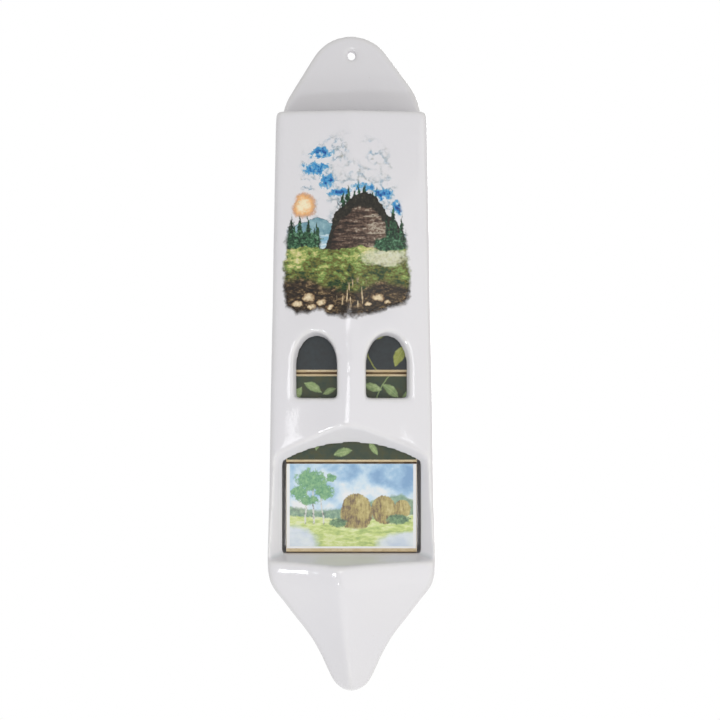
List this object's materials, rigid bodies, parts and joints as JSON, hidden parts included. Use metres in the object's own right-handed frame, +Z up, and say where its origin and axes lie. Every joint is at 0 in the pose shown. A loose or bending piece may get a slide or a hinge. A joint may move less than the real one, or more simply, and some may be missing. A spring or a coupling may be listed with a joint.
{
  "type": "matchbox holder",
  "caption": "Glazed ceramic wall holder: a tapered chute with two arched windows and an open mouth feeds stacked matchboxes, over a pointed foot.",
  "frame": {"origin": "centre of the hanging hole on the wall plane", "axes": "+X to the right seen from the front, +Y into the wall, +Z up"},
  "size_m": [0.0674, 0.0341, 0.274],
  "materials": {
    "glaze": "glossy white glaze on slip-cast earthenware",
    "card_sleeve": "plain tan box card",
    "card_tray": "plain grey-white box card",
    "label_landscape": "printed paper, a watercolour landscape with a white margin",
    "label_green": "printed paper, dark green with leaf sprigs",
    "label_charcoal": "printed paper, charcoal with leaf sprigs",
    "striker": "dark brown striking coat",
    "match_wood": "plain aspen splint",
    "match_head": "dull dark red dipped compound"
  },
  "bodies": {
    "holder": {"holder_body": "glaze"},
    "bottom_box": {"bottom_box_sleeve": "card_sleeve", "bottom_box_front_label": "label_landscape", "bottom_box_upper_striker": "striker", "bottom_box_lower_striker": "striker"},
    "bottom_box_tray": {"bottom_box_tray": "card_tray", "bottom_box_match_sticks": "match_wood", "bottom_box_match_heads": "match_head"},
    "middle_box": {"middle_box_sleeve": "card_sleeve", "middle_box_front_label": "label_green", "middle_box_upper_striker": "striker", "middle_box_lower_striker": "striker"},
    "middle_box_tray": {"middle_box_tray": "card_tray", "middle_box_match_sticks": "match_wood", "middle_box_match_heads": "match_head"},
    "top_box": {"top_box_sleeve": "card_sleeve", "top_box_front_label": "label_charcoal", "top_box_upper_striker": "striker", "top_box_lower_striker": "striker"},
    "top_box_tray": {"top_box_tray": "card_tray", "top_box_match_sticks": "match_wood", "top_box_match_heads": "match_head"}
  },
  "joints": [
    {"name": "bottom_box_draw", "type": "slide", "parent": "holder", "child": "bottom_box", "axis": [0, -1, 0], "range_m": [0, 0.0328]},
    {"name": "middle_box_lift", "type": "slide", "parent": "holder", "child": "middle_box", "axis": [0, 0, 1], "range_m": [0, 0.1451]},
    {"name": "top_box_lift", "type": "slide", "parent": "middle_box", "child": "top_box", "axis": [0, 0, 1], "range_m": [0, 0.1086]},
    {"name": "bottom_box_tray_slide", "type": "slide", "parent": "bottom_box", "child": "bottom_box_tray", "axis": [1, 0, 0], "range_m": [-0.0006, 0.0006]},
    {"name": "middle_box_tray_slide", "type": "slide", "parent": "middle_box", "child": "middle_box_tray", "axis": [1, 0, 0], "range_m": [-0.0006, 0.0006]},
    {"name": "top_box_tray_slide", "type": "slide", "parent": "top_box", "child": "top_box_tray", "axis": [1, 0, 0], "range_m": [-0.0006, 0.0006]}
  ]
}
